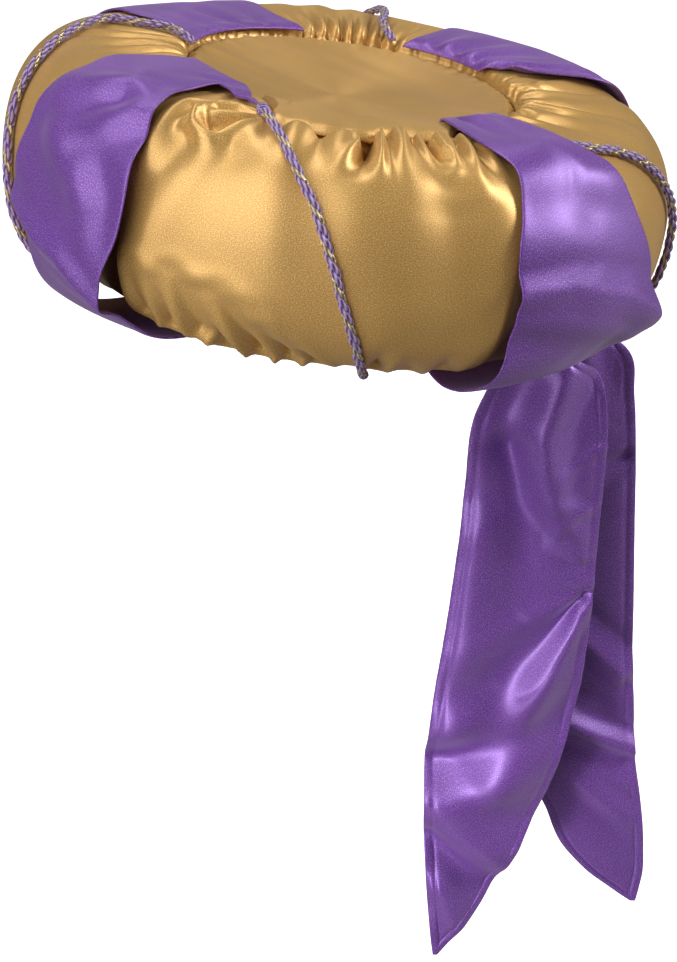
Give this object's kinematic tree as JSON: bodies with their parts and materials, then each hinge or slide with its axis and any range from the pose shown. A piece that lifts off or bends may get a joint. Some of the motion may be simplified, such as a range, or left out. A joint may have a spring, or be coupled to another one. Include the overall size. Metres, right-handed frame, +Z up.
{
  "type": "sultan hat",
  "caption": "Padded satin turban hat with a flat crown, wrap bands, twisted trim cords and two hanging tails",
  "frame": {"origin": "middle of the head opening, on the plane of the padded roll's underside", "axes": "+Z is up as the hat is worn, the wearer faces -Y, and +X is the wearer's left. The roll is tipped back and to the wearer's left in this frame."},
  "size_m": [0.3064, 0.3033, 0.5296],
  "materials": {
    "gold_satin": "glossy satin",
    "purple_satin": "soft satin",
    "twisted_trim": "twisted cord"
  },
  "bodies": {
    "root": {"padded_roll": "gold_satin", "crown_disc": "gold_satin", "wrap_band_front": "purple_satin", "wrap_band_left": "purple_satin", "wrap_band_back": "purple_satin", "wrap_band_right": "purple_satin", "trim_cord_front": "twisted_trim", "trim_cord_left": "twisted_trim", "trim_cord_back": "twisted_trim", "trim_cord_right": "twisted_trim", "tail_front": "purple_satin", "tail_back": "purple_satin"}
  },
  "joints": []
}
